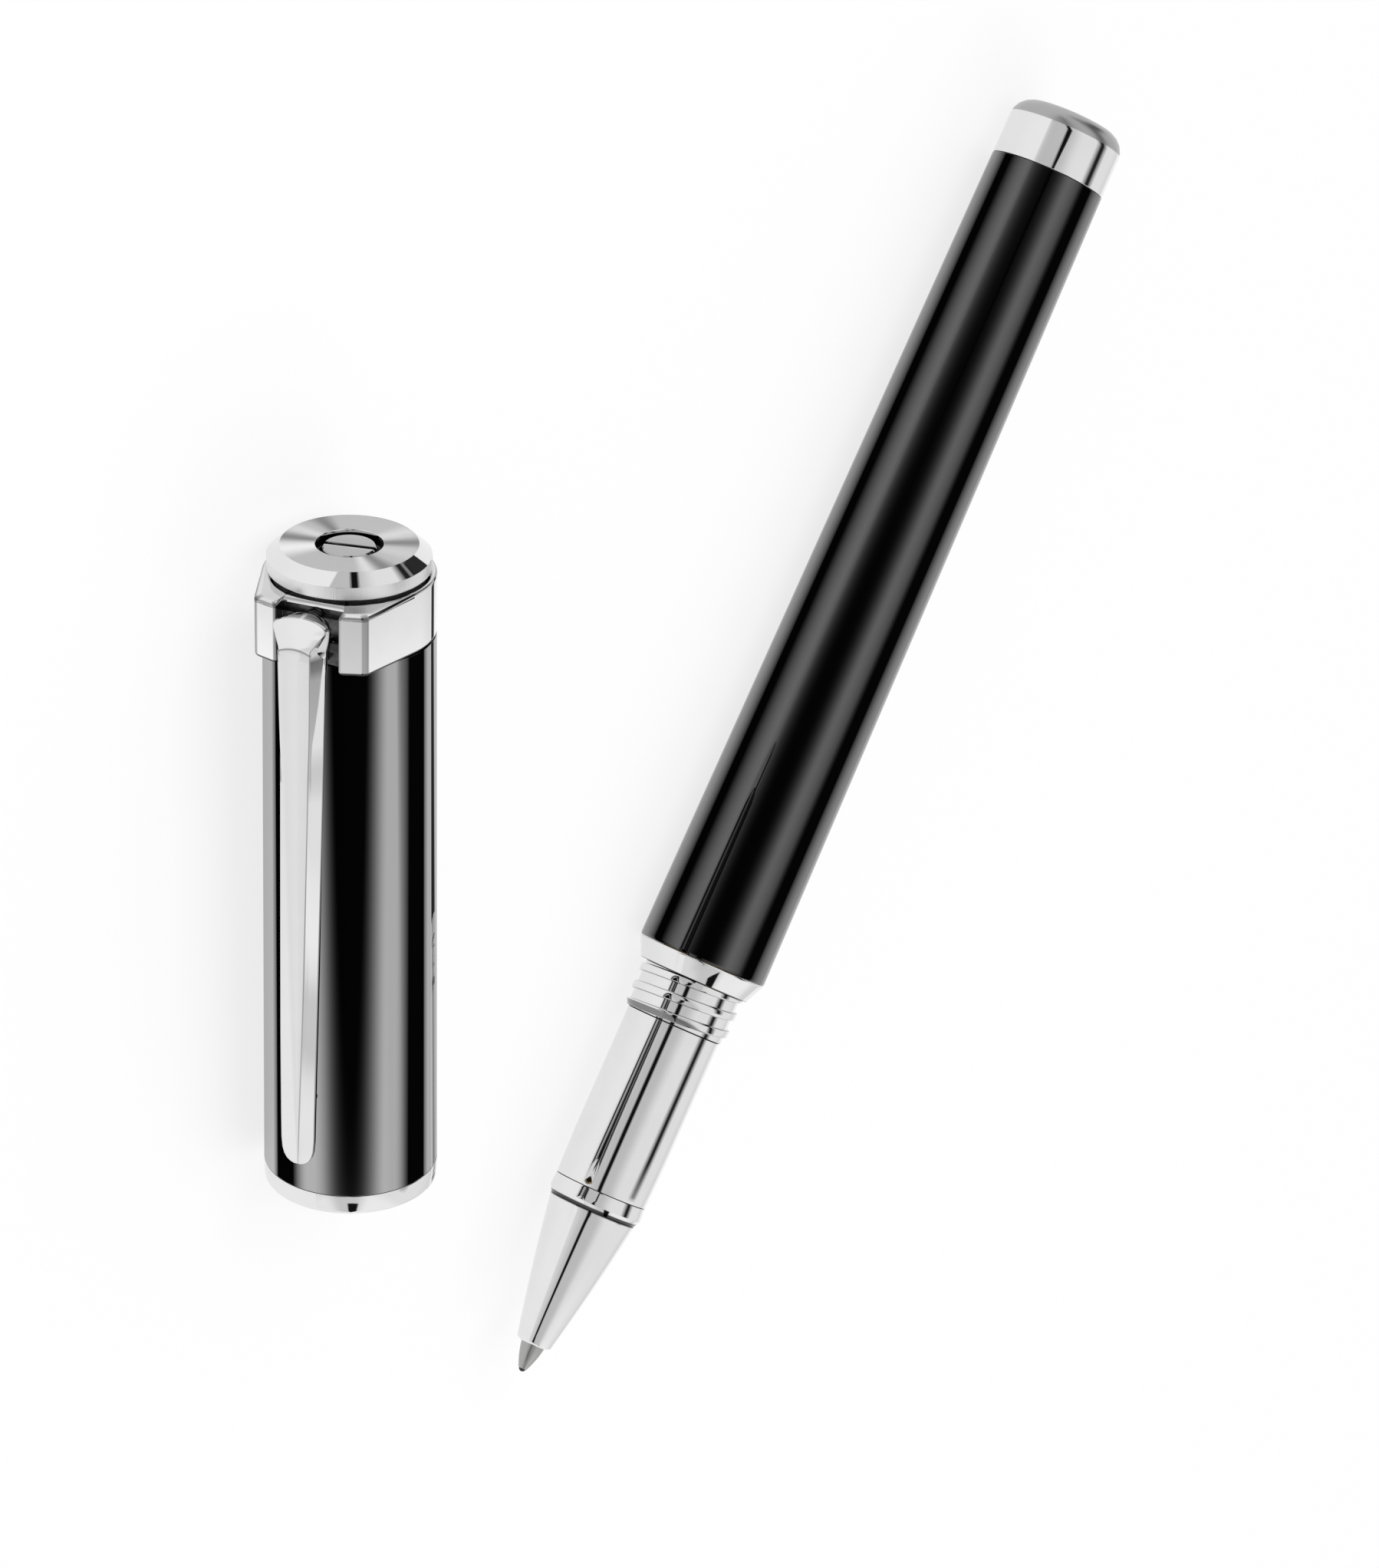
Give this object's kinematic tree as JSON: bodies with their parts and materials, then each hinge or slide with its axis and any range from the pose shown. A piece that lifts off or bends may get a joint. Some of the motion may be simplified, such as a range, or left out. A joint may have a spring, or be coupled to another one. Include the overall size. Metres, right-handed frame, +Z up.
{
  "type": "rollerball pen",
  "caption": "Black lacquer rollerball pen with polished metal grip section and nose, with its taken-off cap beside it. The cap's faceted clip pivots in an eared collar.",
  "frame": {"origin": "on the pen's axis, in the middle of the straight part of the grip", "axes": "+X along the pen's axis towards the writing ball; +Z up from the table the pen and the cap lie on; the cap lies on the -Y side"},
  "size_m": [0.1268, 0.084, 0.015],
  "materials": {
    "lacquer": "deep black polished lacquer",
    "polished_metal": "polished plating",
    "clip_metal": "polished plating on the facets",
    "brass": "turned",
    "dark_plastic": "moulded",
    "rubber": "matte",
    "spring_steel": "drawn wire",
    "refill_metal": "satin tube",
    "tip_metal": "turned",
    "carbide": "ground ball, wet with ink",
    "ink_fibre": "fibre soaked with ink"
  },
  "bodies": {
    "barrel": {"barrel_tube": "lacquer", "barrel_sleeve": "brass", "end_finial": "polished_metal", "finial_stud": "brass", "spring_seat": "dark_plastic", "refill_spring": "spring_steel"},
    "section": {"section_core": "brass", "section_seal": "rubber", "shoulder_cone": "polished_metal", "thread_collar": "polished_metal", "grip_sleeve": "polished_metal", "front_ring": "polished_metal", "nose_cone": "polished_metal"},
    "refill": {"refill_tube": "refill_metal", "refill_shell": "dark_plastic", "refill_tip": "tip_metal", "refill_plug": "dark_plastic", "ink_core": "ink_fibre"},
    "ball": {"writing_ball": "carbide"},
    "cap": {"cap_tube": "lacquer", "mouth_ring": "polished_metal", "thread_insert": "brass", "cap_liner": "dark_plastic", "head_plug": "brass", "clip_collar": "polished_metal", "collar_washer": "dark_plastic", "top_disc": "polished_metal", "slotted_screw": "polished_metal", "clip_pin": "spring_steel", "clip_spring": "spring_steel"},
    "clip": {"clip": "clip_metal"}
  },
  "joints": [
    {"name": "section_out", "type": "slide", "parent": "barrel", "child": "section", "axis": [1, 0, 0], "range_m": [0, 0.118]},
    {"name": "refill_push", "type": "slide", "parent": "section", "child": "refill", "axis": [-1, 0, 0], "range_m": [0, 0.0015], "stiffness_N_per_m": 800, "springref_m": -0.002, "deforming": ["refill_spring"]},
    {"name": "ball_roll", "type": "hinge", "parent": "refill", "child": "ball", "pos_m": [0.0291, 0, 0], "axis": [0, 1, 0], "continuous": true},
    {"name": "cap_pull", "type": "slide", "parent": "barrel", "child": "cap", "axis": [-0.8221, -0.5693, 0], "range_m": [0, 0.05]},
    {"name": "clip_lift", "type": "hinge", "parent": "cap", "child": "clip", "pos_m": [-0.02368, -0.07411, 0.00413], "axis": [0.204, -0.2946, -0.9336], "range_deg": [0, 6], "stiffness_Nm_per_rad": 3, "springref_deg": -1.72, "deforming": ["clip_spring"]}
  ]
}
